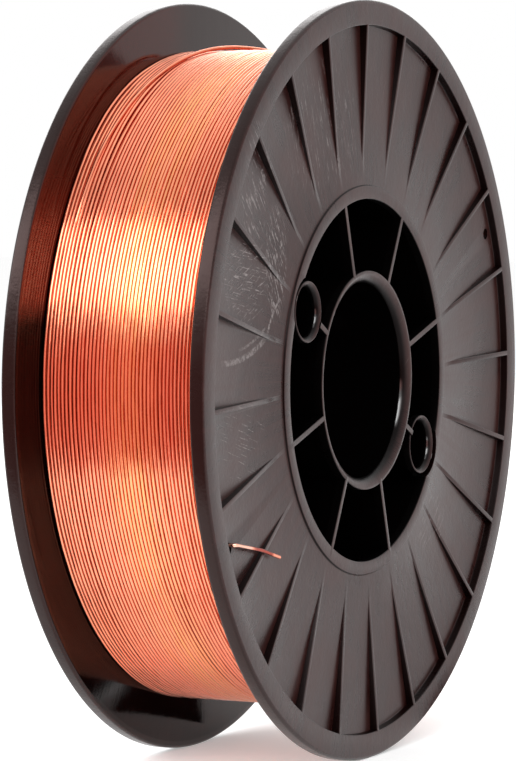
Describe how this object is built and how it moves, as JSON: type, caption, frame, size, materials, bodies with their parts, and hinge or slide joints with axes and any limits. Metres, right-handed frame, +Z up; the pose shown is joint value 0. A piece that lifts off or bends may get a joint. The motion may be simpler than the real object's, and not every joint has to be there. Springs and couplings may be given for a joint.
{
  "type": "welding wire spool",
  "caption": "Moulded plastic spool with ribbed flanges, a hub on flat webs and drive-pin holes, wound with copper-coated welding wire whose end comes out through one flange.",
  "frame": {"origin": "middle of the bore, halfway between the flanges", "axes": "+Z up as the spool stands on the rims of its flanges; the bore runs along Y and the flange that the wire comes out of faces -Y"},
  "size_m": [0.2, 0.0561, 0.2],
  "materials": {
    "plastic": "dark grey recycled plastic, satin, lightly scuffed",
    "copper_wire": "copper-coated steel, bright"
  },
  "bodies": {
    "root": {"spool": "plastic", "wire": "copper_wire"}
  },
  "joints": []
}
